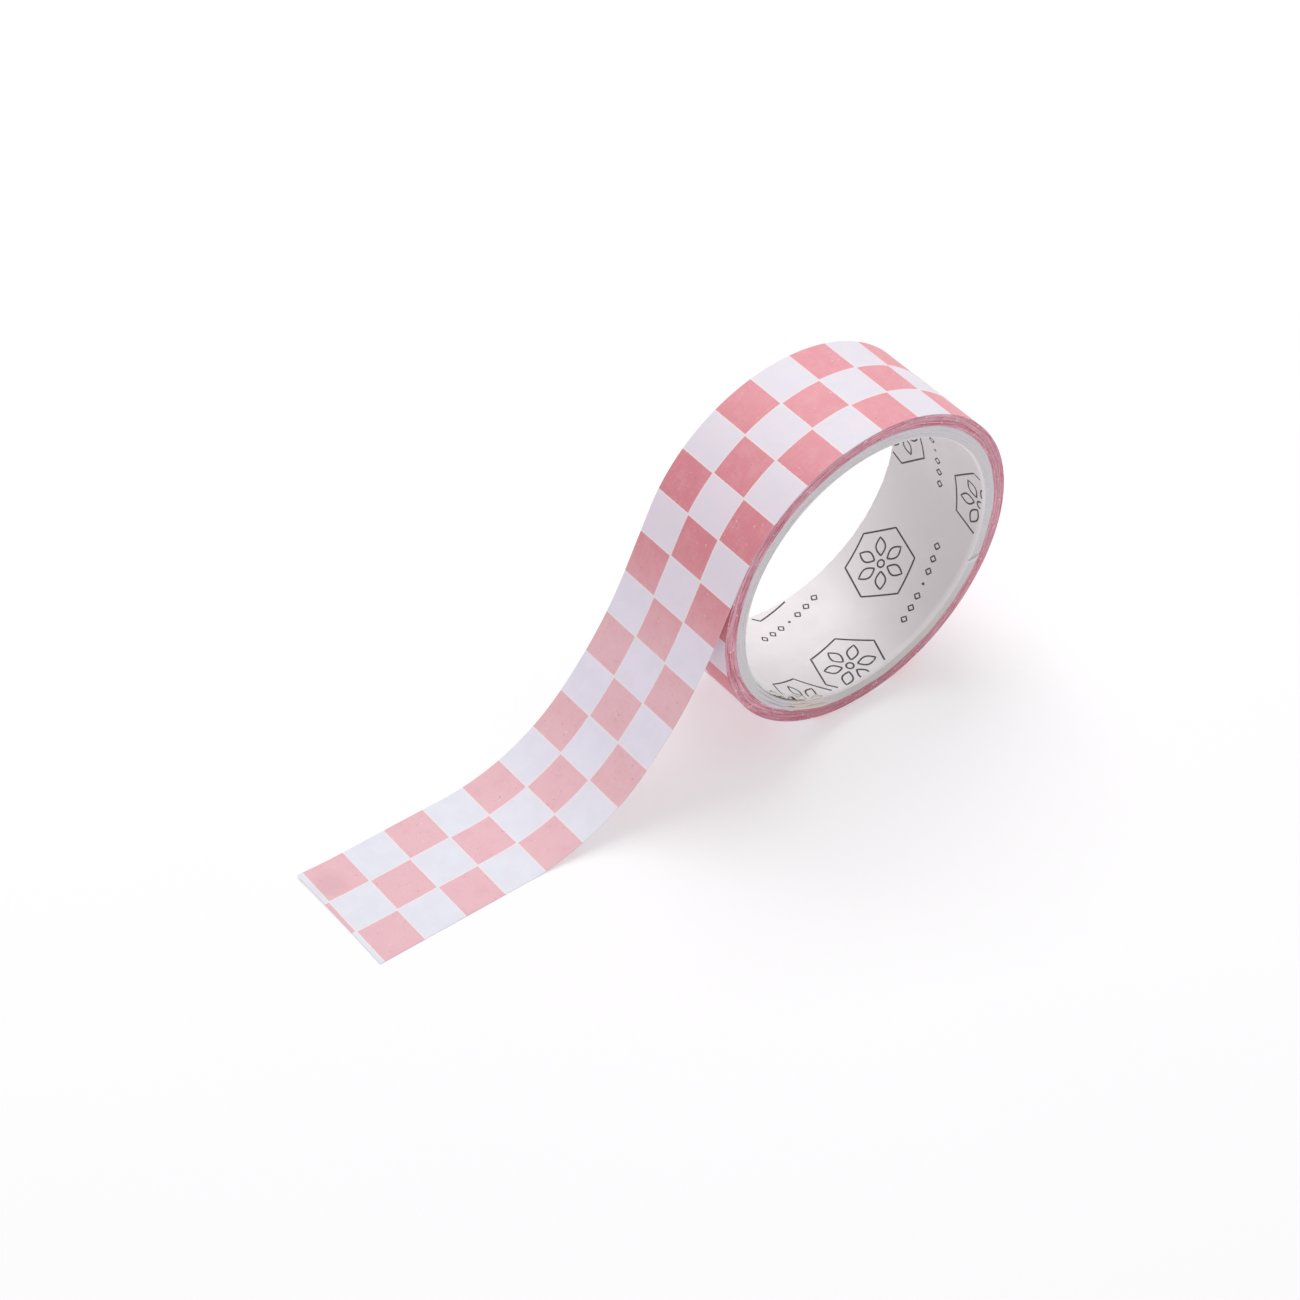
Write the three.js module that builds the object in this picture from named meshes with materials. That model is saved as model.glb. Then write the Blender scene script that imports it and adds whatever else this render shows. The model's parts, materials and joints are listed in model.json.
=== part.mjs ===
// A small roll of decorative paper (washi) tape standing on its rim, with a peeled tail that
// runs down to the table. Millimetres, +Z up, table at z = 0.
// The roll's axis is parallel to Y; the tail leaves the roll on its -X side.
// The origin is on the table, under the middle of the roll.

import * as THREE from 'three';

// Tape
const TAPE_WIDTH = 15;
const TAPE_THICKNESS = 0.08;
const LAYER_PITCH = 0.1; // one wound layer: the tape and the clearance to the next turn
const WOUND_TURNS = 15;
const CHECKS_PER_TURN = 24; // squares of the printed pattern round the outermost turn

// Core: a printed paper liner inside three plies of board
const CORE_OUTER_RADIUS = 18;
const LINER_THICKNESS = 0.2;
const PLY_THICKNESS = 0.38;
const PLY_CLEARANCE = 0.02;
const BOARD_PLIES = ['core_ply_inner', 'core_ply_middle', 'core_ply_outer'];

// Angles round the roll, in degrees: 0 points along -X, 90 is the top, 270 is the table
const PEEL_ANGLE = 23.5; // where the tape leaves the roll
const FIRST_CHECK_ANGLE = 30.5; // the first edge between two squares above the peel line
const LIFT_CHECKS = 6; // squares beyond that edge that can still be peeled off
const TABLE_ANGLE = 270;
const FACET_ANGLE = 7.5;

// Tail: a straight stretch, two bends and a flat end that lies on the table
const PEEL_SLOPE = 66.5;
const UPPER_BEND = { radius: 47, endSlope: 47 };
const LOWER_BEND = { radius: 21.6, endSlope: 0 };
const TAIL_CHECKS = 12;
const END_SLIVER = 0.5; // tape beyond the last whole square, left by the cut
const CELL_GAP = 0.16; // clearance across each flexing line
const BEND_STEP = 4.8; // degrees turned per facet, at most

const COLOURS = {
  print: { color: 0xeeb6bd, roughness: 0.75 },
  woundEdge: { color: 0xc48b98, roughness: 0.8 },
  liner: { color: 0xe6e3e4, roughness: 0.7 },
  board: { color: 0xc9c7c8, roughness: 0.9 },
};

const radians = THREE.MathUtils.degToRad;

// Radii. The mid-surface of the tape is a spiral that loses one pitch per turn, counted back
// from the peel line.
const SPIRAL_END_RADIUS = CORE_OUTER_RADIUS + PLY_CLEARANCE + TAPE_THICKNESS / 2;
const PEEL_RADIUS = SPIRAL_END_RADIUS + WOUND_TURNS * LAYER_PITCH;
const CHECK_ANGLE = 360 / CHECKS_PER_TURN;
const CHECK_LENGTH = radians(CHECK_ANGLE) * (PEEL_RADIUS + TAPE_THICKNESS / 2);
const LIFT_END_ANGLE = FIRST_CHECK_ANGLE + LIFT_CHECKS * CHECK_ANGLE;

function spiralRadius(angle) {
  return PEEL_RADIUS - (LAYER_PITCH * (angle - PEEL_ANGLE)) / 360;
}

const AXIS_HEIGHT =
  (spiralRadius(TABLE_ANGLE) + TAPE_THICKNESS / 2) * Math.cos(radians(FACET_ANGLE / 2));

// The directions of all the facet edges in one turn. Every ring and every turn uses the same
// ones, so that neighbouring layers have parallel facets. One facet lies flat on the table.
function turnStations() {
  const stretches = [
    { from: PEEL_ANGLE, to: FIRST_CHECK_ANGLE, steps: 1 },
    { from: FIRST_CHECK_ANGLE, to: LIFT_END_ANGLE, steps: 2 * LIFT_CHECKS },
    { from: LIFT_END_ANGLE, to: TABLE_ANGLE - FACET_ANGLE / 2, steps: 20 },
    { from: TABLE_ANGLE - FACET_ANGLE / 2, to: TABLE_ANGLE + FACET_ANGLE / 2, steps: 1 },
    { from: TABLE_ANGLE + FACET_ANGLE / 2, to: PEEL_ANGLE + 360, steps: 15 },
  ];
  const angles = [];
  for (const { from, to, steps } of stretches) {
    for (let step = 0; step < steps; step += 1) {
      angles.push(from + ((to - from) * step) / steps);
    }
  }
  return angles;
}

const STATIONS = turnStations();

// The stations inside a range, with both ends of the range.
function within(stations, from, to) {
  const apart = 0.05;
  const inside = stations.filter((at) => at > from + apart && at < to - apart);
  return [from, ...inside, to];
}

function spiralStations() {
  const turns = Array.from({ length: WOUND_TURNS + 1 }, (_, turn) => turn);
  return turns.flatMap((turn) => STATIONS.map((angle) => angle + 360 * turn));
}

function rollPoint(angle, radius) {
  const direction = radians(angle);
  return new THREE.Vector2(
    -radius * Math.cos(direction),
    AXIS_HEIGHT + radius * Math.sin(direction),
  );
}

// A profile drawn in the X-Z plane, extruded across the tape's width.
function acrossWidth(shape) {
  const geometry = new THREE.ExtrudeGeometry(shape, {
    depth: TAPE_WIDTH,
    steps: 1,
    bevelEnabled: false,
    curveSegments: 1,
  });
  geometry.rotateX(Math.PI / 2);
  geometry.translate(0, TAPE_WIDTH / 2, 0);
  return geometry;
}

function ring(innerRadius, outerRadius) {
  const rim = STATIONS.map((angle) => rollPoint(angle, outerRadius));
  const hole = STATIONS.map((angle) => rollPoint(angle, innerRadius)).reverse();
  const shape = new THREE.Shape(rim);
  shape.holes.push(new THREE.Path(hole));
  return acrossWidth(shape);
}

// A length of tape between its printed side and its adhesive side.
function strip(printedSide, adhesiveSide) {
  return acrossWidth(new THREE.Shape([...printedSide, ...adhesiveSide.reverse()]));
}

function spiralStrip(from, to) {
  const angles = within(spiralStations(), from, to);
  const half = TAPE_THICKNESS / 2;
  return strip(
    angles.map((angle) => rollPoint(angle, spiralRadius(angle) + half)),
    angles.map((angle) => rollPoint(angle, spiralRadius(angle) - half)),
  );
}

// The tail's stretches, from the peel line outwards. The straight one is as long as the drop
// to the table needs.
function tailStretches() {
  const cosine = (slope) => Math.cos(radians(slope));
  const start = rollPoint(PEEL_ANGLE, PEEL_RADIUS);
  const upperDrop = UPPER_BEND.radius * (cosine(UPPER_BEND.endSlope) - cosine(PEEL_SLOPE));
  const lowerDrop =
    LOWER_BEND.radius * (cosine(LOWER_BEND.endSlope) - cosine(UPPER_BEND.endSlope));
  const drop = start.y - TAPE_THICKNESS / 2;
  const straight = (drop - upperDrop - lowerDrop) / Math.sin(radians(PEEL_SLOPE));
  const bend = (fromSlope, { radius, endSlope }) => ({
    length: radius * radians(fromSlope - endSlope),
    fromSlope,
    toSlope: endSlope,
  });
  return [
    { length: straight, fromSlope: PEEL_SLOPE, toSlope: PEEL_SLOPE },
    bend(PEEL_SLOPE, UPPER_BEND),
    bend(UPPER_BEND.endSlope, LOWER_BEND),
    { length: Infinity, fromSlope: 0, toSlope: 0 },
  ];
}

const STRETCHES = tailStretches();

// Distances along the tail where its facets meet. The straight stretches need none.
function tailStations() {
  const distances = [];
  let start = 0;
  for (const { length, fromSlope, toSlope } of STRETCHES.slice(0, -1)) {
    const steps = Math.ceil((fromSlope - toSlope) / BEND_STEP);
    for (let step = 0; step <= steps; step += 1) {
      distances.push(start + (length * step) / Math.max(steps, 1));
    }
    start += length;
  }
  return [...new Set(distances)];
}

const TAIL_STATIONS = tailStations();

// Mid-surface point and slope of the tail at a distance along it from the peel line.
function tailPoint(distance) {
  const point = rollPoint(PEEL_ANGLE, PEEL_RADIUS);
  let left = distance;
  for (const { length, fromSlope, toSlope } of STRETCHES) {
    const run = Math.min(left, length);
    const from = radians(fromSlope);
    let slope = from;
    if (fromSlope === toSlope) {
      point.x -= run * Math.cos(from);
      point.y -= run * Math.sin(from);
    } else {
      const radius = length / radians(fromSlope - toSlope);
      slope = from - run / radius;
      point.x -= radius * (Math.sin(from) - Math.sin(slope));
      point.y -= radius * (Math.cos(slope) - Math.cos(from));
    }
    left -= run;
    if (left <= 0) {
      return { point, slope };
    }
  }
  return null;
}

function tailSides(distances) {
  const half = TAPE_THICKNESS / 2;
  const printed = [];
  const adhesive = [];
  for (const distance of distances) {
    const { point, slope } = tailPoint(distance);
    const normal = new THREE.Vector2(-Math.sin(slope), Math.cos(slope));
    printed.push(point.clone().addScaledVector(normal, half));
    adhesive.push(point.clone().addScaledVector(normal, -half));
  }
  return { printed, adhesive };
}

function tailCell(from, to) {
  const { printed, adhesive } = tailSides(within(TAIL_STATIONS, from, to));
  return strip(printed, adhesive);
}

// The cell that holds the peel line: its upper part still lies on the roll.
function peelCell(topAngle, to) {
  const half = TAPE_THICKNESS / 2;
  const { printed, adhesive } = tailSides([0, to]);
  printed.unshift(rollPoint(topAngle, spiralRadius(topAngle) + half));
  adhesive.unshift(rollPoint(topAngle, spiralRadius(topAngle) - half));
  return strip(printed, adhesive);
}

const roll = new THREE.Group();

function add(name, geometry, { color, roughness }) {
  const material = new THREE.MeshStandardMaterial({ color, roughness, metalness: 0 });
  const mesh = new THREE.Mesh(geometry, material);
  mesh.name = name;
  roll.add(mesh);
}

function addCore() {
  const plyPitch = PLY_THICKNESS + PLY_CLEARANCE;
  const linerOuter = CORE_OUTER_RADIUS - BOARD_PLIES.length * plyPitch;
  add('core_liner', ring(linerOuter - LINER_THICKNESS, linerOuter), COLOURS.liner);
  BOARD_PLIES.forEach((name, index) => {
    const outer = linerOuter + (index + 1) * plyPitch;
    add(name, ring(outer - PLY_THICKNESS, outer), COLOURS.board);
  });
}

const GAP_ANGLE = THREE.MathUtils.radToDeg(CELL_GAP / 2 / PEEL_RADIUS);

function addWoundTape() {
  const outerTurnEnd = LIFT_END_ANGLE + 360;
  add('outer_turn', spiralStrip(LIFT_END_ANGLE + GAP_ANGLE, outerTurnEnd), COLOURS.print);
  add(
    'wound_tape',
    spiralStrip(outerTurnEnd + GAP_ANGLE, PEEL_ANGLE + 360 * WOUND_TURNS),
    COLOURS.woundEdge,
  );
}

// The squares that still lie on the roll but come off it as the tape is pulled, from the top
// of the roll towards the peel line.
function addLiftCells() {
  for (let cell = 1; cell <= LIFT_CHECKS; cell += 1) {
    const top = LIFT_END_ANGLE - (cell - 1) * CHECK_ANGLE;
    const bottom = top - CHECK_ANGLE;
    add(`tape_lift_${cell}`, spiralStrip(bottom + GAP_ANGLE, top - GAP_ANGLE), COLOURS.print);
  }
}

// The free tail, one square per cell, from the peel line to the cut end.
function addTailCells() {
  const firstEdge = CHECK_LENGTH * (1 - (FIRST_CHECK_ANGLE - PEEL_ANGLE) / CHECK_ANGLE);
  const half = CELL_GAP / 2;
  add('tape_tail_1', peelCell(FIRST_CHECK_ANGLE - GAP_ANGLE, firstEdge - half), COLOURS.print);
  for (let cell = 2; cell <= TAIL_CHECKS; cell += 1) {
    const from = firstEdge + (cell - 2) * CHECK_LENGTH + half;
    const end = cell === TAIL_CHECKS ? END_SLIVER : -half;
    const to = firstEdge + (cell - 1) * CHECK_LENGTH + end;
    add(`tape_tail_${cell}`, tailCell(from, to), COLOURS.print);
  }
}

addCore();
addWoundTape();
addLiftCells();
addTailCells();

export default roll;
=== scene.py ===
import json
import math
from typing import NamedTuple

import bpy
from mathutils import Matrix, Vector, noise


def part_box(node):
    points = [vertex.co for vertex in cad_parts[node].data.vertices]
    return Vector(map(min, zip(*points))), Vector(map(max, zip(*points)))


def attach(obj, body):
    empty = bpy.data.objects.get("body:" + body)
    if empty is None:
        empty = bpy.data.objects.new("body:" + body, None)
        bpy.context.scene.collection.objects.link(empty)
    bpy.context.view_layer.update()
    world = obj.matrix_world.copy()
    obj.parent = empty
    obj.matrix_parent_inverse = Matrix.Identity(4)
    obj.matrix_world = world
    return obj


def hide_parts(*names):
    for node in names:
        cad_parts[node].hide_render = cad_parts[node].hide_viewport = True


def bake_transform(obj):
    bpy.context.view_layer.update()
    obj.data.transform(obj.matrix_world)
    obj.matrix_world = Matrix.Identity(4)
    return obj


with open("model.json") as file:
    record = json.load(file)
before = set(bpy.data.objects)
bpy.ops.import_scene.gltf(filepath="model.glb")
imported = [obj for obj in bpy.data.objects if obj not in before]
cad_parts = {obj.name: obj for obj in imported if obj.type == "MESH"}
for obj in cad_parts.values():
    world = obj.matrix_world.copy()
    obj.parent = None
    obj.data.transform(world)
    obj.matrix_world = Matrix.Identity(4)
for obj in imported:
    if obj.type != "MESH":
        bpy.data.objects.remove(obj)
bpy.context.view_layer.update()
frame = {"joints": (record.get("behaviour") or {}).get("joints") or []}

# A small roll of checked paper tape, standing on its rim, with a peeled tail on the table.
# Everything is in metres in the CAD frame: +Z up, table at z = 0, the roll's axis parallel to Y,
# the tail towards -X. Angles round the roll are in degrees: 0 points along -X, 90 is the top,
# 180 is +X and 270 is the table. A place along the tape is counted in printed squares, or
# checks, from the first whole square at the cut end; the number grows towards the roll.

MM = 0.001

# Tape, as in the CAD model
TAPE_THICKNESS = 0.08 * MM
LAYER_PITCH = 0.1 * MM
CORE_GAP = 0.02 * MM  # between the core and the start of the tape
WOUND_TURNS = 15
CHECKS_PER_TURN = 24
ROWS_OF_CHECKS = 3
PEEL_ANGLE = 23.5
PEEL_SLOPE = 66.5  # degrees below level, where the tail leaves the roll
FIRST_EDGE_CHECK = 12  # the first line between squares that lies on the roll, and its angle
FIRST_EDGE_ANGLE = 30.5
PEELABLE_CHECKS = 6  # squares on the roll that can be peeled off it
END_SLIVER = 0.5 * MM
FACET_ANGLE = 7.5
TAIL_BENDS = [(47 * MM, 47), (21.6 * MM, 0)]  # radius, and slope where the bend ends

# Core, as in the CAD model
CORE_OUTER_RADIUS = 18 * MM
LINER_THICKNESS = 0.2 * MM
PLY_PITCH = 0.4 * MM
PLY_GAP = 0.005 * MM
BOARD_PLIES = ["core_ply_inner", "core_ply_middle", "core_ply_outer"]

CHECK_ANGLE = 360 / CHECKS_PER_TURN
PEEL_RADIUS = CORE_OUTER_RADIUS + CORE_GAP + TAPE_THICKNESS / 2 + WOUND_TURNS * LAYER_PITCH
OUTER_RADIUS = PEEL_RADIUS + TAPE_THICKNESS / 2
CHECK_LENGTH = math.radians(CHECK_ANGLE) * OUTER_RADIUS
PEEL_CHECK = FIRST_EDGE_CHECK - (FIRST_EDGE_ANGLE - PEEL_ANGLE) / CHECK_ANGLE

tape_low, tape_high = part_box("outer_turn")
NEAR_SIDE, FAR_SIDE = tape_low.y, tape_high.y
TAPE_WIDTH = FAR_SIDE - NEAR_SIDE
BORE_RADIUS = CORE_OUTER_RADIUS - 3 * PLY_PITCH - LINER_THICKNESS

# The first hinge needs a tighter bend than the others, so that the tape doesn't dip into the
# turn below it.
FIRST_FLEX_REACH = 0.25
FLEX_REACH = 0.5
STEPS_PER_CHECK = 12
STEPS_ACROSS = 12
WOUND_STEP = 3  # degrees between two sections of the wound turns


# --- Path of the tape -------------------------------------------------------------------


class Station(NamedTuple):
    """A place on the tape's mid-surface, its outward normal, and the count of checks there."""

    point: Vector
    normal: Vector
    check: float


def spiral_radius(angle):
    return PEEL_RADIUS - LAYER_PITCH * (angle - PEEL_ANGLE) / 360


def axis_height():
    rest_radius = spiral_radius(270) + TAPE_THICKNESS / 2
    return rest_radius * math.cos(math.radians(FACET_ANGLE / 2))


AXIS = Vector((0, 0, axis_height()))


def outward(angle):
    turn = math.radians(angle)
    return Vector((-math.cos(turn), 0, math.sin(turn)))


def roll_station(angle):
    """On the wound spiral. The printed checks are counted along the tape's printed side."""
    radius = spiral_radius(angle)
    mean_radius = (OUTER_RADIUS + radius + TAPE_THICKNESS / 2) / 2
    turned = (angle - FIRST_EDGE_ANGLE) / CHECK_ANGLE
    return Station(
        AXIS + radius * outward(angle),
        outward(angle),
        FIRST_EDGE_CHECK + turned * mean_radius / OUTER_RADIUS,
    )


def slope_normal(slope):
    return Vector((-math.sin(slope), 0, math.cos(slope)))


def tail_stretches():
    """(length, first slope, radius) of each stretch from the peel line; no radius if straight."""
    stretches = []
    slope = math.radians(PEEL_SLOPE)
    drop = roll_station(PEEL_ANGLE).point.z - TAPE_THICKNESS / 2
    for radius, end_degrees in TAIL_BENDS:
        end_slope = math.radians(end_degrees)
        drop -= radius * (math.cos(end_slope) - math.cos(slope))
        stretches.append((radius * (slope - end_slope), slope, radius))
        slope = end_slope
    straight = drop / math.sin(math.radians(PEEL_SLOPE))
    return [(straight, math.radians(PEEL_SLOPE), None), *stretches, (math.inf, slope, None)]


STRETCHES = tail_stretches()


def tail_station(distance):
    """On the free tail, at a distance along it from the peel line."""
    point = roll_station(PEEL_ANGLE).point
    left = distance
    for length, slope, radius in STRETCHES:
        run = min(left, length)
        if radius is None:
            point += run * Vector((-math.cos(slope), 0, -math.sin(slope)))
        else:
            start_normal = slope_normal(slope)
            slope -= run / radius
            point += radius * (start_normal - slope_normal(slope))
        left -= run
        if left <= 0:
            break
    return Station(point, slope_normal(slope), PEEL_CHECK - distance / CHECK_LENGTH)


def station(check):
    """Anywhere from the outermost turn to the cut end."""
    if check >= PEEL_CHECK:
        return roll_station(FIRST_EDGE_ANGLE + (check - FIRST_EDGE_CHECK) * CHECK_ANGLE)
    return tail_station((PEEL_CHECK - check) * CHECK_LENGTH)


def stations_between(first, last):
    """From one place to another, in checks, at about the same spacing everywhere."""
    steps = max(2, math.ceil(abs(first - last) * STEPS_PER_CHECK))
    return [station(first + (last - first) * step / steps) for step in range(steps + 1)]


# --- Mesh helpers -----------------------------------------------------------------------


def new_object(name, points, faces, materials, face_materials=None, tape_map=None):
    """A smooth-shaded mesh object. tape_map gives each point's place on the printed strip."""
    mesh = bpy.data.meshes.new(name)
    mesh.from_pydata(points, [], faces)
    for material in materials:
        mesh.materials.append(material)
    if face_materials:
        mesh.polygons.foreach_set("material_index", face_materials)
    if tape_map:
        layer = mesh.uv_layers.new(name="tape")
        for loop in mesh.loops:
            layer.data[loop.index].uv = tape_map[loop.vertex_index]
    mesh.shade_smooth()
    mesh.set_sharp_from_angle(angle=math.radians(40))
    piece = bpy.data.objects.new(name, mesh)
    bpy.context.scene.collection.objects.link(piece)
    return piece


def ripple(position, seed, size):
    """Smooth noise from -1 to 1, the same on every run."""
    return noise.noise(Vector((position[0] / size, position[1] / size, seed)))


def round_ripple(angle, y, seed, size):
    """The same on the core, where it meets itself after one turn."""
    place = BORE_RADIUS * outward(angle) + Vector((seed, y, seed))
    return noise.noise(place / size)


# --- Materials --------------------------------------------------------------------------


def linear(red, green, blue):
    """An sRGB colour from 0 to 255 as a linear colour with alpha."""

    def channel(value):
        value /= 255
        return value / 12.92 if value <= 0.04045 else ((value + 0.055) / 1.055) ** 2.4

    return (channel(red), channel(green), channel(blue), 1)


class Shader:
    """A node material under construction, round one Principled shader."""

    def __init__(self, name, roughness=0.6, specular=0.4, sheen=0.0):
        self.material = bpy.data.materials.new(name)
        self.material.use_nodes = True
        self.tree = self.material.node_tree
        self.surface = self.tree.nodes["Principled BSDF"]
        self.surface.inputs["Roughness"].default_value = roughness
        self.surface.inputs["Specular IOR Level"].default_value = specular
        self.surface.inputs["Sheen Weight"].default_value = sheen

    def feed(self, socket, value):
        if isinstance(value, bpy.types.NodeSocket):
            self.tree.links.new(value, socket)
        elif value is not None:
            socket.default_value = value

    def node(self, kind, *inputs, **settings):
        made = self.tree.nodes.new("ShaderNode" + kind)
        for setting, value in settings.items():
            setattr(made, setting, value)
        for socket, value in zip(made.inputs, inputs):
            self.feed(socket, value)
        return made

    def math(self, operation, *values):
        return self.node("Math", *values, operation=operation).outputs[0]

    def strip_place(self):
        """Place on the strip: checks along the tape, and checks across it from its middle."""
        return self.node("UVMap", uv_map="tape").outputs[0]

    def along(self):
        u, v, _ = self.split(self.strip_place())
        return u, v

    def strip_millimetres(self, stretch_along=1.0, stretch_across=1.0):
        """The same place as a vector in millimetres, so that grain stays with the paper."""
        u, v = self.along()
        along = self.math("MULTIPLY", u, CHECK_LENGTH / MM / stretch_along)
        across = self.math("MULTIPLY", v, TAPE_WIDTH / ROWS_OF_CHECKS / MM / stretch_across)
        return self.node("CombineXYZ", along, across, 0.0).outputs[0]

    def object_millimetres(self):
        coordinates = self.node("TexCoord").outputs["Object"]
        scaled = self.node("VectorMath", coordinates, operation="SCALE")
        scaled.inputs["Scale"].default_value = 1 / MM
        return scaled.outputs[0]

    def split(self, vector):
        return self.node("SeparateXYZ", vector).outputs

    def distance(self, place, centre):
        return self.node("VectorMath", place, centre, operation="DISTANCE").outputs["Value"]

    def noise(self, vector, scale, detail=3.0, roughness=0.55):
        made = self.node("TexNoise", vector)
        made.inputs["Scale"].default_value = scale
        made.inputs["Detail"].default_value = detail
        made.inputs["Roughness"].default_value = roughness
        return made.outputs[0]

    def range(self, value, low, high, to_low=0.0, to_high=1.0):
        made = self.node("MapRange", value, low, high, to_low, to_high)
        made.interpolation_type = "SMOOTHSTEP"
        return made.outputs[0]

    def blend(self, factor, first, second, mode="MIX"):
        made = self.node("Mix", data_type="RGBA", blend_type=mode)
        self.feed(made.inputs["Factor"], factor)
        self.feed(made.inputs[6], first)
        self.feed(made.inputs[7], second)
        return made.outputs[2]

    def finish(self, colour, roughness=None, height=None, bump=0.3, depth=0.02 * MM):
        self.feed(self.surface.inputs["Base Color"], colour)
        self.feed(self.surface.inputs["Roughness"], roughness)
        if height is not None:
            made = self.node("Bump")
            made.inputs["Strength"].default_value = bump
            made.inputs["Distance"].default_value = depth
            self.feed(made.inputs["Height"], height)
            self.feed(self.surface.inputs["Normal"], made.outputs[0])
        return self.material


SLIT_MARGIN = 0.03  # in checks; the print runs on over the slit edges, with no rim there
SMUDGE = (0.27, 0.92, 0.0)  # the middle of a faint smudge on the first pink square, in checks


def print_mask(shader, frayed=0.012):
    """Where the pink ink is, from 0 to 1, and the thin pale rim where two squares meet."""
    u, v = shader.along()
    grain = shader.strip_millimetres()
    shifts = [shader.noise(grain, scale, 2.0) for scale in (5.0, 6.3)]
    shifts = [shader.math("MULTIPLY_ADD", shift, 2 * frayed, -frayed) for shift in shifts]
    u = shader.math("ADD", u, shifts[0])
    v = shader.math("ADD", shader.math("ADD", v, ROWS_OF_CHECKS / 2), shifts[1])
    v = shader.math("MINIMUM", shader.math("MAXIMUM", v, SLIT_MARGIN), ROWS_OF_CHECKS - SLIT_MARGIN)
    whole = shader.math("ADD", shader.math("FLOOR", u), shader.math("FLOOR", v))
    odd = shader.math("PINGPONG", whole, 1.0)
    to_edge = shader.math(
        "MINIMUM", shader.math("PINGPONG", u, 0.5), shader.math("PINGPONG", v, 0.5)
    )
    inside = shader.math("MULTIPLY", to_edge, shader.math("SUBTRACT", 1.0, odd))
    ink = shader.range(inside, 0.004, 0.016)
    rim = shader.range(to_edge, 0.010, 0.025, 1.0, 0.0)
    return ink, rim


def fibres(shader, scale):
    """Long, thin paper fibres lying in two directions, about 0.5 in the mean."""
    one = shader.noise(shader.strip_millimetres(5.0, 1.0), scale, 3.0)
    other = shader.noise(shader.strip_millimetres(1.0, 4.0), scale * 1.2, 3.0)
    return shader.math("MULTIPLY", shader.math("ADD", one, other), 0.5)


def printed_tape_material():
    """The printed side: deep pink on the roll, partly the layers beneath showing through and partly
    painted shade, with painted light towards the roll's top; paler where the tail hangs free.
    """
    shader = Shader("printed_tape", roughness=0.62, specular=0.35, sheen=0.08)
    ink, rim = print_mask(shader)
    u, _ = shader.along()
    hanging = shader.range(u, 3.5, 8.5)
    # On the roll the pink is deeper and the white greyer: partly the layers beneath showing
    # through, partly painted shade.
    on_roll = shader.range(u, 8.3, 11.9)
    # Painted light: the squares towards the roll's top are lighter.
    painted_top_light = shader.math(
        "MULTIPLY", shader.range(u, 12.4, 15.8), shader.range(u, 21.0, 31.0, 1.0, 0.0)
    )
    pink = shader.blend(on_roll, linear(238, 189, 197), linear(224, 138, 149))
    pink = shader.blend(painted_top_light, pink, linear(237, 161, 170))
    white = shader.blend(hanging, linear(235, 236, 246), linear(241, 233, 248))
    white = shader.blend(on_roll, white, linear(239, 226, 237))
    white = shader.blend(painted_top_light, white, linear(238, 231, 240))
    grain = fibres(shader, 3.2)
    cloud = shader.noise(shader.strip_millimetres(), 0.45, 3.0)
    mottle = shader.math(
        "ADD", shader.math("MULTIPLY", grain, 0.6), shader.math("MULTIPLY", cloud, 0.4)
    )
    pink = shader.blend(shader.range(mottle, 0.46, 0.62, 0.0, 0.14), pink, linear(248, 212, 216))
    pink = shader.blend(shader.range(mottle, 0.36, 0.5, 0.14, 0.0), pink, linear(206, 128, 142))
    speck = shader.noise(shader.strip_millimetres(), 2.6, 1.0)
    pink = shader.blend(shader.range(speck, 0.70, 0.76, 0.0, 0.5), pink, linear(190, 112, 128))
    pink = shader.blend(shader.range(speck, 0.24, 0.30, 0.6, 0.0), pink, linear(252, 226, 226))
    white = shader.blend(shader.range(cloud, 0.35, 0.65, 0.0, 0.4), white, linear(228, 226, 238))
    colour = shader.blend(ink, white, pink)
    colour = shader.blend(shader.math("MULTIPLY", rim, 0.65), colour, linear(249, 238, 234))
    smudge = shader.range(shader.distance(shader.strip_place(), SMUDGE), 0.1, 0.5, 0.18, 0.0)
    colour = shader.blend(smudge, colour, linear(186, 136, 136))
    roughness = shader.range(grain, 0.3, 0.7, 0.52, 0.72)
    return shader.finish(colour, roughness, grain, bump=0.25, depth=0.015 * MM)


def adhesive_side_material():
    """The sticky side: a smooth clear coat over paper that lets the print show faintly."""
    shader = Shader("adhesive_side", roughness=0.35, specular=0.5)
    ink, _ = print_mask(shader)
    cloud = shader.noise(shader.strip_millimetres(), 0.6, 4.0)
    patch = shader.range(cloud, 0.3, 0.7)
    paper = shader.blend(patch, linear(236, 232, 238), linear(228, 223, 231))
    tint = shader.blend(patch, linear(240, 206, 210), linear(236, 198, 204))
    roughness = shader.range(cloud, 0.3, 0.7, 0.28, 0.42)
    return shader.finish(shader.blend(ink, paper, tint), roughness, cloud, 0.1, 0.01 * MM)


def free_edge_material():
    """The slit edge of the free tail: white paper with a breath of ink."""
    shader = Shader("tape_edge_free", roughness=0.7, specular=0.3)
    ink, _ = print_mask(shader)
    grain = shader.noise(shader.strip_millimetres(), 7.0, 2.0)
    paper = shader.blend(grain, linear(226, 220, 232), linear(240, 236, 244))
    return shader.finish(shader.blend(ink, paper, linear(226, 186, 198)), None, grain, 0.2)


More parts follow.
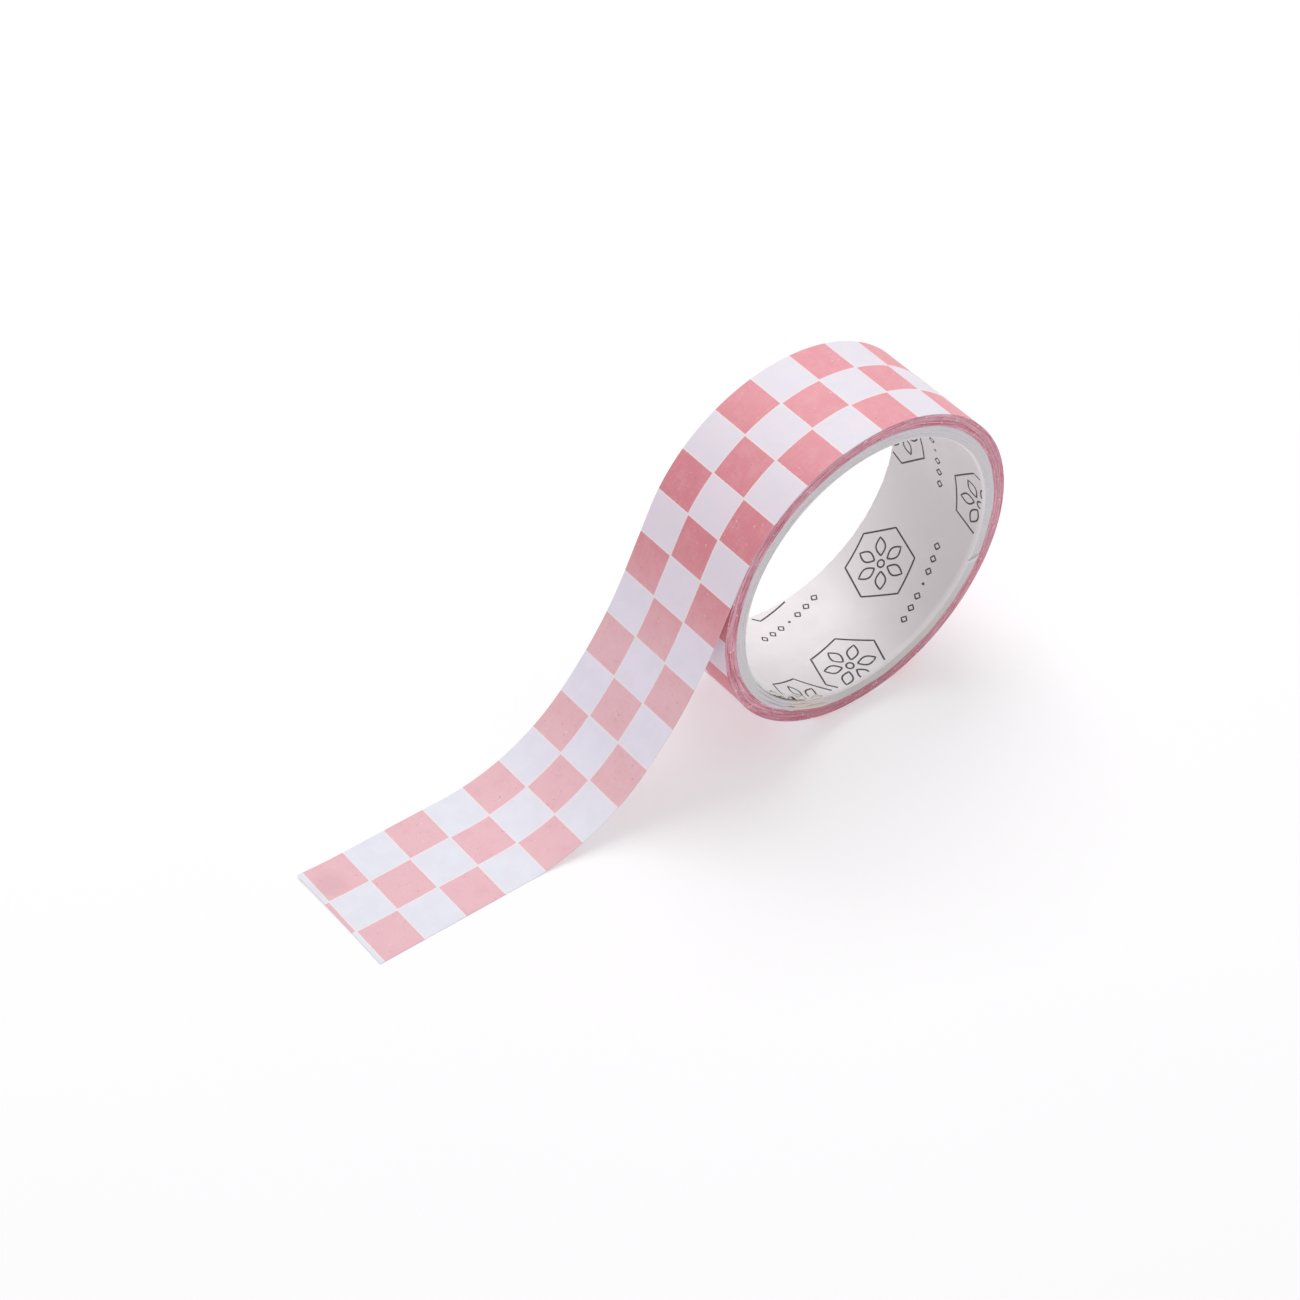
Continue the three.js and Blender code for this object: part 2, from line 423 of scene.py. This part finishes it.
def wound_edge_material():
    """The side of the wound turns: mauve-pink, streaked along the turns, with dust specks, and
    painted shade that makes it darker and deeper pink towards the bottom.
    """
    shader = Shader("tape_edge_wound", roughness=0.68, specular=0.35)
    ink, _ = print_mask(shader)
    streak = shader.noise(shader.strip_millimetres(3.5, 1.0), 0.9, 4.0, 0.65)
    colour = shader.blend(
        shader.range(streak, 0.34, 0.64), linear(199, 110, 132), linear(240, 190, 203)
    )
    colour = shader.blend(shader.math("MULTIPLY", ink, 0.2), colour, linear(206, 112, 130))
    place = shader.object_millimetres()
    patch = shader.noise(place, 0.35, 2.0)
    colour = shader.blend(shader.range(patch, 0.45, 0.7, 0.0, 0.3), colour, linear(206, 160, 178))
    height = shader.split(place)[2]
    # Painted shade: darker, deeper pink towards the bottom.
    colour = shader.blend(shader.range(height, 1.0, 9.0, 0.42, 0.0), colour, linear(184, 90, 112))
    dust = shader.noise(place, 2.6, 1.0)
    colour = shader.blend(shader.range(dust, 0.69, 0.74, 0.0, 0.85), colour, linear(252, 230, 228))
    return shader.finish(colour, None, streak, 0.3, 0.03 * MM)


def liner_material():
    """Smooth white paper inside the core, with painted shade deeper in the bore on the side away
    from the tail.
    """
    shader = Shader("liner_paper", roughness=0.5, specular=0.45)
    place = shader.object_millimetres()
    cloud = shader.noise(place, 0.22, 4.0)
    grain = shader.noise(place, 5.0, 3.0)
    colour = shader.blend(
        shader.range(cloud, 0.3, 0.7), linear(244, 240, 241), linear(239, 234, 236)
    )
    forward, deep, _ = shader.split(place)
    # Painted shade: greyer deeper in the bore on the side away from the tail, which leaves the near
    # rim lighter.
    grey = shader.math(
        "MULTIPLY", shader.range(forward, 1.0, 12.0, 0.0, 0.65), shader.range(deep, -7.5, -6.8)
    )
    colour = shader.blend(grey, colour, linear(216, 210, 212))
    colour = shader.blend(shader.range(grain, 0.55, 0.8, 0.0, 0.25), colour, linear(222, 216, 218))
    roughness = shader.range(cloud, 0.3, 0.7, 0.42, 0.58)
    return shader.finish(colour, roughness, grain, 0.12, 0.01 * MM)


# The middle of a patch of painted light on the board by the tear.
PAINTED_LIGHT_MIDDLE = AXIS + 17.3 * MM * outward(294) + Vector((0, NEAR_SIDE, 0))


def board_material():
    """Grey-white recycled board, warmer on one side, with short fibres and a few flecks,
    and painted light that makes it lighter and warmer by the tear."""
    shader = Shader("core_board", roughness=0.85, specular=0.2, sheen=0.1)
    place = shader.object_millimetres()
    fuzz = shader.noise(place, 6.0, 4.0, 0.7)
    cloud = shader.noise(place, 0.5, 2.0)
    colour = shader.blend(
        shader.range(fuzz, 0.3, 0.7), linear(215, 211, 215), linear(230, 226, 230)
    )
    colour = shader.blend(shader.range(cloud, 0.4, 0.7, 0.0, 0.5), colour, linear(218, 217, 217))
    forward, _, height = shader.split(place)
    warm = shader.math(
        "MULTIPLY", shader.range(height, 4.0, 16.0, 0.9, 0.0), shader.range(forward, -6.0, 0.0)
    )
    colour = shader.blend(warm, colour, linear(214, 209, 208))
    # Painted light: lighter and warmer round that point by the tear.
    painted_shading = shader.range(shader.distance(place, PAINTED_LIGHT_MIDDLE / MM), 1.5, 5.0, 0.9, 0.0)
    colour = shader.blend(painted_shading, colour, linear(231, 219, 213))
    fleck = shader.noise(place, 3.4, 1.0)
    colour = shader.blend(shader.range(fleck, 0.70, 0.76, 0.0, 0.3), colour, linear(170, 168, 164))
    return shader.finish(colour, None, fuzz, 0.4, 0.03 * MM)


def torn_paper_material():
    """Torn plies: white fibre with patches of olive-brown painted shade."""
    shader = Shader("torn_paper", roughness=0.9, specular=0.15, sheen=0.2)
    place = shader.object_millimetres()
    fuzz = shader.noise(place, 4.0, 4.0, 0.7)
    painted_shading = shader.noise(place, 1.1, 2.0)
    colour = shader.blend(
        shader.range(fuzz, 0.3, 0.7), linear(208, 204, 194), linear(236, 233, 228)
    )
    # Painted shade: olive-brown patches.
    colour = shader.blend(shader.range(painted_shading, 0.42, 0.6, 0.0, 0.8), colour, linear(170, 160, 132))
    return shader.finish(colour, None, fuzz, 0.6, 0.05 * MM)


def ink_material():
    """Dark grey ink, a little worn."""
    shader = Shader("ink", roughness=0.6, specular=0.3)
    wear = shader.noise(shader.object_millimetres(), 8.0, 2.0)
    colour = shader.blend(shader.range(wear, 0.35, 0.75), linear(66, 62, 66), linear(104, 100, 104))
    return shader.finish(colour, None, wear, 0.1, 0.005 * MM)


PRINTED = printed_tape_material()
ADHESIVE = adhesive_side_material()
FREE_EDGE = free_edge_material()
WOUND_EDGE = wound_edge_material()
LINER = liner_material()
BOARD = board_material()
TORN = torn_paper_material()
INK = ink_material()


# --- Tape -------------------------------------------------------------------------------


END_CURL_REACH = 1.1  # in checks
LAST_STIFF_CHECK = FIRST_EDGE_CHECK - 0.5
CHECKS_TO_SLACK = 3
FIRST_WANDERING_CHECK = 20


def end_lift(check, across):
    """The cut end curls up a little, more at its far corner."""
    reach = max(0.0, 1 - check / END_CURL_REACH)
    return (0.03 + 0.2 * across) * MM * reach**2


def end_bow(check, across):
    """How far the cut end runs out past a straight cut: most at its far corner."""
    past = min(1.0, max(0.0, -check * CHECK_LENGTH / END_SLIVER))
    return (0.14 * across**2 - 0.06 * math.sin(math.pi * across)) * MM * past


def slackness(check):
    """How free the tape is to ripple: not at all on the roll, fully on the tail."""
    return min(1.0, max(0.0, (LAST_STIFF_CHECK - check) / CHECKS_TO_SLACK))


def side_shift(check):
    """How far the wound strip wanders sideways: not at all where it can be peeled."""
    depth = min(1.0, max(0.0, (check - FIRST_WANDERING_CHECK) / CHECKS_PER_TURN))
    wander = ripple((check, 0), 3.1, 9.0) + 0.6 * ripple((check, 0), 7.7, 2.5)
    return 0.07 * MM * depth * wander


def tape_section(at, widths, offsets):
    """The printed side's points and then the adhesive side's, across the tape at a station."""
    sides = []
    for half in offsets:
        for across in widths:
            y = NEAR_SIDE + across * TAPE_WIDTH
            sway = 0.05 * MM * slackness(at.check) * ripple((at.check, 3 * across), 1.3, 2.2)
            place = at.point + at.normal * (half + sway + end_lift(at.check, across))
            place.x -= end_bow(at.check, across)
            place.y = y + side_shift(at.check)
            place.z = max(0.0, place.z)
            sides.append(place)
    return sides


EVEN_WIDTHS = [step / STEPS_ACROSS for step in range(STEPS_ACROSS + 1)]
EDGE_WIDTHS = [0, 0.02, 0.98, 1]  # where only the edges of the strip can be seen
FREE_TAPE = (TAPE_THICKNESS / 2, -TAPE_THICKNESS / 2)  # its two sides, from the mid-surface
STUCK_TAPE = (TAPE_THICKNESS / 2, -LAYER_PITCH / 2)
BURIED_TAPE = (LAYER_PITCH / 2, -LAYER_PITCH / 2)


def tape_strip(name, stations, edge_material, widths=EVEN_WIDTHS, offsets=FREE_TAPE):
    """A closed length of tape: printed side, adhesive side, two slit edges and two ends."""
    count = len(widths)
    points, places, faces, kinds = [], [], [], []
    for at in stations:
        points += tape_section(at, widths, offsets)
        places += 2 * [(at.check, ROWS_OF_CHECKS * (across - 0.5)) for across in widths]

    def add(face, kind):
        faces.append(face)
        kinds.append(kind)

    for column in range(len(stations) - 1):
        here = column * 2 * count
        there = here + 2 * count
        for row in range(count - 1):
            a, b = here + row, there + row
            add((a, a + 1, b + 1, b), 0)
            add((a + count, b + count, b + count + 1, a + count + 1), 1)
        near, far = here, here + count - 1
        step = 2 * count
        add((near, near + step, near + step + count, near + count), 2)
        add((far, far + count, far + count + step, far + step), 2)
    last = (len(stations) - 1) * 2 * count
    for row in range(count - 1):
        add((row, row + count, row + count + 1, row + 1), 2)
        add((last + row, last + row + 1, last + row + count + 1, last + row + count), 2)
    return new_object(name, points, faces, [PRINTED, ADHESIVE, edge_material], kinds, places)


def add_flexing_tape():
    """One length of tape over each hinge, from the middle of one square to the next."""
    for index, joint in enumerate(frame["joints"]):
        edge = FIRST_EDGE_CHECK + PEELABLE_CHECKS - index
        reach = FIRST_FLEX_REACH if index == 0 else FLEX_REACH
        stations = stations_between(edge + reach, edge - FLEX_REACH)
        piece = tape_strip(f"flexing_{joint['child']}", stations, FREE_EDGE)
        start = station(edge + reach).point
        end = station(edge - reach).point
        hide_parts(joint["child"])
        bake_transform(piece)


def add_cut_end():
    stations = stations_between(FLEX_REACH, -END_SLIVER / CHECK_LENGTH)
    piece = tape_strip("cut_end", stations, FREE_EDGE)
    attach(piece, "tape_tail_12")


STUCK_FROM = FIRST_EDGE_CHECK + PEELABLE_CHECKS + FIRST_FLEX_REACH  # in checks


def add_outermost_turn():
    stations = stations_between(STUCK_FROM + CHECKS_PER_TURN, STUCK_FROM)
    piece = tape_strip("outermost_turn", stations, WOUND_EDGE, offsets=STUCK_TAPE)
    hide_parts("outer_turn")
    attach(piece, "roll")


def add_wound_turns():
    """Every turn below the outermost one, as the same strip going on round the core."""
    first_check = STUCK_FROM + CHECKS_PER_TURN
    first_angle = FIRST_EDGE_ANGLE + (first_check - FIRST_EDGE_CHECK) * CHECK_ANGLE
    last_angle = PEEL_ANGLE + 360 * WOUND_TURNS
    steps = math.ceil((last_angle - first_angle) / WOUND_STEP)
    angles = [first_angle + (last_angle - first_angle) * step / steps for step in range(steps + 1)]
    stations = [roll_station(angle) for angle in reversed(angles)]
    piece = tape_strip("wound_turns", stations, WOUND_EDGE, EDGE_WIDTHS, BURIED_TAPE)
    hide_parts("wound_tape")
    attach(piece, "roll")


# --- Core -------------------------------------------------------------------------------

SEAM_ANGLE = 286.0  # where the liner's helical seam crosses the middle of the core
SEAM_SHEAR = math.radians(4.6) / MM  # turn of the seam round the core per millimetre of width
SEAM_STEP = 0.05 * MM
SEAM_SWEEP = 359.6  # degrees from the liner's first edge round to its last
LINER_ROWS = 44
LINER_INSET = 0.05 * MM
LIFT_REACH = 1.5 * MM  # how deep in the bore the liner is lifted, and how deep it is rounded
ROUND_REACH = 0.3 * MM
PLY_STEPS = 4  # across a ply's cut face
PLY_ROUNDING = 0.02 * MM
WORN_FROM, WORN_TO = 280, 332  # the stretch of the near rim whose plies have come apart
TEAR_FROM, TEAR_TO = 295, 318  # the part of it where the liner has come off the board
LOOSE_FROM, LOOSE_TO = 150, 310  # where the board stands a little off the wound tape
CORE_SLIP = 0.06 * MM
CORE_LEAN, CORE_LEAN_ANGLE = 0.006, 235  # slope of the core in the tape, and its proud side
NICK_ANGLE = 204.3
NICK_SLANT = 2.4  # degrees that the nick leans over between the bore and the tape


def between(angle, first, last):
    """0 outside a stretch of the rim, rising to 1 in its middle."""
    away = abs((angle - (first + last) / 2 + 180) % 360 - 180)
    return max(0.0, 1 - (2 * away / (last - first)) ** 2)


def worn(angle):
    return between(angle, WORN_FROM, WORN_TO)


def nick(angle, radius):
    """How far the near rim stands out at a crease across it: a groove, and a lip beside it."""
    across = (radius - BORE_RADIUS) / (CORE_OUTER_RADIUS - BORE_RADIUS)
    turned = (angle - NICK_ANGLE + NICK_SLANT * across + 180) % 360 - 180
    away = math.radians(turned) * radius
    groove = math.exp(-(((away + 0.2 * MM) / (0.08 * MM)) ** 2))
    lip = math.exp(-(((away - 0.12 * MM) / (0.13 * MM)) ** 2))
    return 0.1 * MM * lip - 0.09 * MM * groove


def steps_round(start, sweep, lean=0.0):
    """Angles round the core, closer together where the near rim is worn or nicked. The near
    rim is reached at the angle plus lean."""
    angles, angle = [], start
    while angle < start + sweep:
        angles.append(angle)
        if between(angle + lean, NICK_ANGLE - 5, NICK_ANGLE + 5):
            angle += 0.2
        elif between(angle + lean, WORN_FROM - 5, WORN_TO + 5):
            angle += 0.5
        else:
            angle += 1
    return angles


def core_point(angle, radius, y):
    """A point of the core, which sits a little proud of the tape on one side."""
    askew = CORE_LEAN * radius * math.cos(math.radians(angle - CORE_LEAN_ANGLE))
    return AXIS + radius * outward(angle) + Vector((0, y - CORE_SLIP - askew, 0))


def swept_ring(name, angles, section, materials, kinds):
    """A closed ring. section(angle) gives the same number of points at every angle, going
    round its outline; kinds gives the material of the stretch after each of them."""
    points, faces, face_kinds = [], [], []
    for angle in angles:
        points += section(angle)
    count = len(points) // len(angles)
    for column in range(len(angles)):
        here = column * count
        there = (column + 1) % len(angles) * count
        for row in range(count):
            after = (row + 1) % count
            faces.append((here + row, there + row, there + after, here + after))
            face_kinds.append(kinds[row])
    return new_object(name, points, faces, materials, face_kinds)


def cut_face(angle, radius, seed, near):
    """How far the cut end of a ply stands out at a point."""
    direction = outward(angle) * (radius + seed)
    place = (direction.x, direction.z)
    out = 0.02 * MM * ripple(place, 2.0 if near else 5.0, 0.5 * MM)
    out += 0.03 * MM * ripple(place, 9.0 if near else 4.0, 6 * MM) - 0.05 * MM
    if near:
        out += nick(angle, radius)
        out += 0.25 * MM * worn(angle) * ripple(place, 8.5, 2.5 * MM)
    return out


def parting(angle, index, step):
    """How far a ply's near edge is rounded off, where it has come away from the next one."""
    if step == PLY_STEPS and index == len(BOARD_PLIES) - 1:
        loose = between(angle, LOOSE_FROM, LOOSE_TO)
        uneven = max(0.0, 0.2 + round_ripple(angle, 0, 6.6, 5 * MM))
        return PLY_ROUNDING + 0.25 * MM * loose * uneven
    ragged = 0.5 + 0.5 * round_ripple(angle, 0, 5.1 + index, 2 * MM)
    return PLY_ROUNDING + 0.14 * MM * worn(angle) * ragged


def room_under_tape(angle):
    """How far the innermost turn has spiralled out from the core since its start."""
    return LAYER_PITCH * ((PEEL_ANGLE - angle) % 360) / 360


def ply_section(index):
    """The outline of a ply: out along its near cut face, and back along its far one."""
    inner = BORE_RADIUS + LINER_THICKNESS + index * PLY_PITCH + PLY_GAP
    is_outermost = index == len(BOARD_PLIES) - 1

    def section(angle):
        outer = inner - PLY_GAP + PLY_PITCH
        if is_outermost:
            outer += room_under_tape(angle)
        radii = [inner + (outer - inner) * step / PLY_STEPS for step in range(PLY_STEPS + 1)]
        points = []
        for step, radius in enumerate(radii):
            rounded = parting(angle, index, step) if step in (0, PLY_STEPS) else 0
            out = cut_face(angle, radius, index * 7 * MM, True) - rounded
            points.append(core_point(angle, radius, NEAR_SIDE - out))
        for step, radius in enumerate(reversed(radii)):
            rounded = PLY_ROUNDING if step in (0, PLY_STEPS) else 0
            out = cut_face(angle, radius, index * 7 * MM, False) - rounded
            points.append(core_point(angle, radius, FAR_SIDE + out))
        return points

    return section


def add_board_plies():
    for index, node in enumerate(BOARD_PLIES):
        piece = swept_ring(
            f"board_{node}", steps_round(0, 360), ply_section(index), [BOARD], 10 * [0]
        )
        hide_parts(node)
        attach(piece, "roll")


def seam_rise(angle, y):
    """The liner is wound as a helix: its overlapping edge stands up along the seam."""
    after = (angle - SEAM_ANGLE - math.degrees(SEAM_SHEAR * y)) % 360
    return SEAM_STEP * math.exp(-after / 9)


def liner_lift(angle, y):
    """How far the liner has come off the board, towards the near rim."""
    to_rim = max(0.0, 1 - (y - NEAR_SIDE) / LIFT_REACH)
    ragged = 0.5 + 0.5 * round_ripple(angle, y, 2.2, 0.9 * MM)
    torn = between(angle, TEAR_FROM, TEAR_TO)
    return MM * to_rim**2 * ragged * (0.2 * worn(angle) + 0.6 * torn)


def liner_radius(angle, y):
    """The liner's bore side, which rounds off into the near rim."""
    wave = 0.03 * MM * round_ripple(angle, y, 6.0, 7 * MM)
    to_rim = max(0.0, 1 - (y - NEAR_SIDE - LINER_INSET) / ROUND_REACH)
    rounded = 0.1 * MM * to_rim**3
    return BORE_RADIUS + wave - seam_rise(angle, y) - liner_lift(angle, y) + rounded


def liner_fray(angle, across):
    """How far the liner's cut ends run unevenly along the core."""
    ragged = round_ripple(angle, 0, 4.4, 0.6 * MM)
    torn = 0.3 * MM * between(angle, TEAR_FROM, TEAR_TO) + 0.1 * MM * worn(angle)
    near = nick(angle, BORE_RADIUS) - torn * abs(ragged)
    return 0.1 * MM * ragged * across**12 - near * (1 - across) ** 12


def add_liner():
    outer = BORE_RADIUS + LINER_THICKNESS

    def section(seam_angle):
        """Follows the seam's slant, so that its edge stays crisp."""
        bore, back = [], []
        for row in range(LINER_ROWS + 1):
            across = (row / LINER_ROWS) ** 1.6
            y = NEAR_SIDE + LINER_INSET + across * (TAPE_WIDTH - 2 * LINER_INSET)
            angle = seam_angle + math.degrees(SEAM_SHEAR * y)
            end = y + liner_fray(angle, across)
            back.append(core_point(angle, outer - liner_lift(angle, y), end))
            bore.append(core_point(angle, liner_radius(angle, y), end))
        return [*back, *reversed(bore)]

    lean = math.degrees(SEAM_SHEAR * NEAR_SIDE)
    angles = [*steps_round(SEAM_ANGLE, SEAM_SWEEP, lean), SEAM_ANGLE + SEAM_SWEEP]
    kinds = LINER_ROWS * [1] + (LINER_ROWS + 2) * [0]
    piece = swept_ring("printed_liner", angles, section, [LINER, TORN], kinds)
    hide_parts("core_liner")
    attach(piece, "roll")


# --- Generic ornament printed on the liner ------------------------------------------------

MARK_TILT = -12
MARK_SIZE = 4.4 * MM
MARK_LINE = 0.2 * MM
MARK_PLACES = [(227, 2.2), (179, -6.9), (266.5, -5.0), (296.5, -7.9), (173, 6.5), (274, 10.5)]
INK_HEIGHT = 0.012 * MM
LEAF_STEPS = 12
DIAMONDS = 7


def circle(radius, sides, start=0.0, sweep=360.0):
    turns = [math.radians(start + sweep * side / sides) for side in range(sides + 1)]
    return [Vector((radius * math.cos(turn), radius * math.sin(turn))) for turn in turns]


def petal(direction, length):
    """One leaf of the rosette, from near its middle outwards and back."""
    turn = Matrix.Rotation(math.radians(direction), 2)
    leaf = []
    for step in range(2 * LEAF_STEPS + 1):
        reach = min(step, 2 * LEAF_STEPS - step) / LEAF_STEPS
        side = 1 if step <= LEAF_STEPS else -1
        spread = side * 0.2 * length * math.sin(math.pi * reach)
        leaf.append(turn @ Vector(((0.3 + 0.7 * reach) * length, spread)))
    return leaf


def mark_strokes():
    """A six-leaf rosette in a hexagon, and a row of small diamonds: (line, width) pairs."""
    strokes = [(circle(MARK_SIZE, 6), MARK_LINE)]
    for leaf in range(6):
        strokes.append((petal(60 * leaf + 30, 0.7 * MARK_SIZE), MARK_LINE))
    strokes.append((circle(0.1 * MARK_SIZE, 12), MARK_LINE))
    middle = DIAMONDS // 2
    for index in range(DIAMONDS):
        size = 0.12 * MM if index == middle else 0.4 * MM
        place = Vector(((index - middle) * 1.5 * MM, -6.2 * MM))
        strokes.append(([place + corner for corner in circle(size, 4)], 0.9 * MARK_LINE))
    return strokes


def finely(line, step=0.35 * MM):
    """The same line with no two points further apart than one step."""
    points = []
    for first, last in zip(line, line[1:]):
        parts = max(1, math.ceil((last - first).length / step))
        points += [first.lerp(last, part / parts) for part in range(parts)]
    return [*points, line[-1]]


def printed_here(y):
    """The print stops short of both rims."""
    return NEAR_SIDE + 0.35 * MM < y < FAR_SIDE - 0.2 * MM


def add_stroke(line, width, points, faces):
    """A thin closed ribbon of ink that hugs the liner, in (angle, y) places."""
    start = len(points)
    for index, (angle, y) in enumerate(line):
        before, after = line[max(0, index - 1)], line[min(len(line) - 1, index + 1)]
        run = Vector((math.radians(after[0] - before[0]) * BORE_RADIUS, after[1] - before[1]))
        side = Vector((-run.y, run.x)).normalized() * width / 2
        for sign in (-1, 1):
            turned = angle + sign * math.degrees(side.x / BORE_RADIUS)
            place = y + sign * side.y
            surface = liner_radius(turned, place)
            points.append(core_point(turned, surface - INK_HEIGHT, place))
            points.append(core_point(turned, surface + INK_HEIGHT, place))
    for index in range(len(line) - 1):
        a = start + 4 * index
        b = a + 4
        faces += [(a, a + 2, b + 2, b), (a + 1, b + 1, b + 3, a + 3)]
        faces += [(a, b, b + 1, a + 1), (a + 2, a + 3, b + 3, b + 2)]
    end = len(points) - 4
    faces.append((start, start + 1, start + 3, start + 2))
    faces.append((end, end + 2, end + 3, end + 1))


def add_liner_print():
    tilt = Matrix.Rotation(math.radians(MARK_TILT), 2)
    points, faces = [], []
    for mark_angle, mark_y in MARK_PLACES:
        for line, width in mark_strokes():
            run = []
            for place in [tilt @ point for point in finely(line)]:
                angle = mark_angle + math.degrees(place.x / BORE_RADIUS)
                y = mark_y * MM + place.y
                if printed_here(y):
                    run.append((angle, y))
                elif len(run) > 1:
                    add_stroke(run, width, points, faces)
                    run = []
            if len(run) > 1:
                add_stroke(run, width, points, faces)
    piece = new_object("liner_print", points, faces, [INK])
    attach(piece, "roll")


# --- Torn plies and nick on the near rim ----------------------------------------------------


FLAKE_COLUMNS = 14
FOLD_COLUMNS = 16


def tube_faces(columns, count):
    """A closed tube through one more ring of points than columns, with count in each ring."""
    faces = []
    for column in range(columns):
        here = count * column
        for side in range(count):
            after = (side + 1) % count
            faces.append((here + side, here + count + side, here + count + after, here + after))
    last_ring = range(count * columns, count * (columns + 1))
    return [*faces, tuple(range(count)), tuple(reversed(last_ring))]


def add_torn_flake(name, angle, length, width, seed):
    """A small ragged tongue of paper, peeled off the rim along one edge."""
    points = []
    for column in range(FLAKE_COLUMNS + 1):
        along = column / FLAKE_COLUMNS
        turned = angle + length * (along - 0.5)
        taper = math.sin(math.pi * along) ** 0.6
        ragged = 0.7 + 0.5 * ripple((along * MM, 0), seed, 0.12 * MM)
        reach = width * taper * ragged + 0.03 * MM
        curl = 0.25 * MM * taper * (0.6 + 0.6 * ripple((along * MM, 0), seed + 3, 0.25 * MM))
        root = core_point(turned, BORE_RADIUS + 0.05 * MM, NEAR_SIDE + 0.12 * MM)
        tip = core_point(turned, BORE_RADIUS - 0.08 * MM - reach * 0.35, NEAR_SIDE + reach + curl)
        thickness = outward(turned) * 0.05 * MM
        points += [root, tip, tip - thickness, root - thickness]
    piece = new_object(name, points, tube_faces(FLAKE_COLUMNS, 4), [TORN])
    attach(piece, "roll")


def add_torn_flakes():
    add_torn_flake("torn_flake_1", 299.5, 5, 0.75 * MM, 1.0)
    add_torn_flake("torn_flake_2", 309, 7, 0.4 * MM, 4.0)
    add_torn_flake("torn_flake_3", 317, 8, 0.3 * MM, 6.0)
    add_torn_flake("torn_flake_4", 291, 6, 0.3 * MM, 8.0)


# The fold's outline in millimetres along the rim and out of it, before its size is varied.
NICK_FOLD = [(0.17, -0.03), (0.12, 0.13), (-0.05, 0.1), (-0.1, -0.03)]


def add_nick_fold():
    """A thin ridge of white paper turned up along the lower side of the nick."""
    points = []
    for column in range(FOLD_COLUMNS + 1):
        across = column / FOLD_COLUMNS
        radius = BORE_RADIUS + across * (CORE_OUTER_RADIUS - BORE_RADIUS)
        crease = NICK_ANGLE - NICK_SLANT * across
        size = 0.25 + math.sin(math.pi * across) ** 0.5
        size *= 1 + 0.3 * ripple((0, radius), 5, 0.3 * MM)
        for along, out in NICK_FOLD:
            angle = crease + math.degrees(along * size * MM / radius)
            points.append(core_point(angle, radius, NEAR_SIDE - out * size * MM))
    piece = new_object("nick_fold", points, tube_faces(FOLD_COLUMNS, len(NICK_FOLD)), [LINER])
    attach(piece, "roll")


# --- Stage ------------------------------------------------------------------------------

CAMERA_AZIMUTH = -39.33
CAMERA_ELEVATION = 44.09
CAMERA_ROLL = 1.89
CAMERA_TARGET = Vector((-19.85, 4.4, 10.0)) * MM
CAMERA_DISTANCE = 356 * MM
LENS = 91.33
KEY_PLACE = Vector((0.10, 0.26, 0.62))
KEY_TARGET = Vector((-0.015, 0, 0.012))
KEY_SIZE = 0.50
KEY_WATTS = 2.5
WORLD_STRENGTH = 0.58
FLOOR_HALF = 1.5
FLOOR_GLOW = 0.36


def add_camera():
    azimuth, elevation, roll = map(
        math.radians, (CAMERA_AZIMUTH, CAMERA_ELEVATION, CAMERA_ROLL)
    )
    back = Vector(
        (
            math.sin(azimuth) * math.cos(elevation),
            -math.cos(azimuth) * math.cos(elevation),
            math.sin(elevation),
        )
    )
    level_right = Vector((math.cos(azimuth), math.sin(azimuth), 0))
    level_up = back.cross(level_right)
    right = math.cos(roll) * level_right + math.sin(roll) * level_up
    up = math.cos(roll) * level_up - math.sin(roll) * level_right
    data = bpy.data.cameras.new("camera")
    data.lens = LENS
    data.sensor_width = 36
    data.clip_start = 10 * MM
    camera = bpy.data.objects.new("camera", data)
    rotation = Matrix((right, up, back)).transposed().to_4x4()
    camera.matrix_world = Matrix.Translation(CAMERA_TARGET + CAMERA_DISTANCE * back) @ rotation
    bpy.context.scene.collection.objects.link(camera)
    bpy.context.scene.camera = camera


def add_key_light():
    """A square softbox above and behind the object."""
    data = bpy.data.lights.new("key", "AREA")
    data.size = KEY_SIZE
    data.energy = KEY_WATTS
    light = bpy.data.objects.new("key", data)
    light.location = KEY_PLACE
    aim = KEY_TARGET - light.location
    light.rotation_euler = aim.to_track_quat("-Z", "Y").to_euler()
    bpy.context.scene.collection.objects.link(light)


def add_surroundings():
    world = bpy.data.worlds.new("studio")
    world.use_nodes = True
    background = world.node_tree.nodes["Background"]
    background.inputs["Color"].default_value = linear(250, 250, 251)
    background.inputs["Strength"].default_value = WORLD_STRENGTH
    bpy.context.scene.world = world


def add_floor():
    """A plain pale light table, which keeps the shadows soft."""
    shader = Shader("floor", roughness=0.9, specular=0.1)
    shader.surface.inputs["Emission Color"].default_value = linear(255, 254, 255)
    shader.surface.inputs["Emission Strength"].default_value = FLOOR_GLOW
    cloud = shader.noise(shader.object_millimetres(), 0.01, 2.0)
    colour = shader.blend(cloud, linear(212, 211, 212), linear(215, 214, 215))
    signs = [(-1, -1), (1, -1), (1, 1), (-1, 1)]
    points = [(FLOOR_HALF * x, FLOOR_HALF * y, 0) for x, y in signs]
    floor = new_object("floor", points, [(0, 1, 2, 3)], [shader.finish(colour)])


add_camera()
add_flexing_tape()
add_cut_end()
add_outermost_turn()
add_wound_turns()
add_board_plies()
add_liner()
add_liner_print()
add_torn_flakes()
add_nick_fold()
add_floor()
add_key_light()
add_surroundings()
bpy.context.scene.view_settings.view_transform = "Standard"
